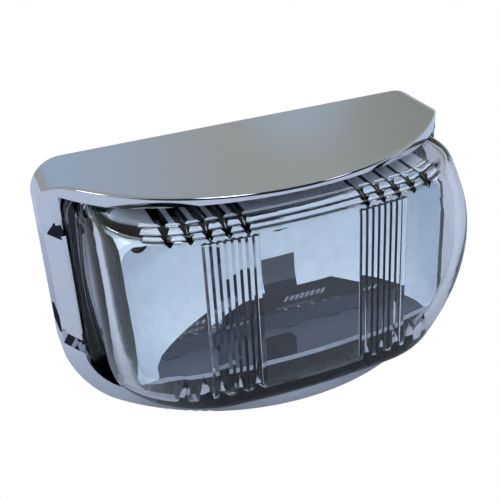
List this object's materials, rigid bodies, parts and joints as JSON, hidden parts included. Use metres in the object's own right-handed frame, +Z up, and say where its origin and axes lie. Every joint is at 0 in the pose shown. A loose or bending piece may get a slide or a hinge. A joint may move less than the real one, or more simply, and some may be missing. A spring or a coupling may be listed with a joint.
{
  "type": "navigation light",
  "caption": "Compact marine LED navigation light: clear fluted snap-in lamp in a bowed chrome-plated housing with a hood, for screwing to a flat surface.",
  "frame": {"origin": "centre of the flat mounting plane at the back of the housing", "axes": "+Y points into the surface that the light is screwed to, so the lens faces -Y; +X runs along the light's length; +Z is up, towards the hood"},
  "size_m": [0.0846, 0.0373, 0.046],
  "materials": {
    "chrome_plating": "polished",
    "gasket_foam": "matte",
    "clear_lens": "polished",
    "black_plastic": "satin",
    "silicone_seal": "satin",
    "black_rubber": "matte",
    "metallised_plastic": "polished",
    "board_laminate": "satin",
    "potting_resin": "satin",
    "aluminium_sheet": "satin",
    "thermal_silicone": "matte",
    "steel_screws": "satin",
    "led_ceramic": "matte",
    "led_silicone": "gloss",
    "component_ceramic": "satin",
    "component_black": "matte",
    "tinned_brass": "gloss"
  },
  "bodies": {
    "housing": {"chrome_housing": "chrome_plating", "mounting_gasket": "gasket_foam"},
    "lamp": {"lens": "clear_lens", "lens_seal": "silicone_seal", "lamp_base": "black_plastic", "reflector": "metallised_plastic", "circuit_board": "board_laminate", "thermal_pad": "thermal_silicone", "heat_spreader": "aluminium_sheet", "potting_compound": "potting_resin", "board_screws": "steel_screws", "cable_grommet": "black_rubber", "led_packages": "led_ceramic", "led_domes": "led_silicone", "resistors": "component_black", "capacitors": "component_ceramic", "inductor": "component_black", "polarity_diode": "component_black", "surge_suppressor": "component_black", "driver_chip": "component_black", "terminal_pins": "tinned_brass"}
  },
  "joints": [
    {"name": "lamp_pull", "type": "slide", "parent": "housing", "child": "lamp", "axis": [0, -1, 0], "range_m": [0, 0.04]}
  ]
}
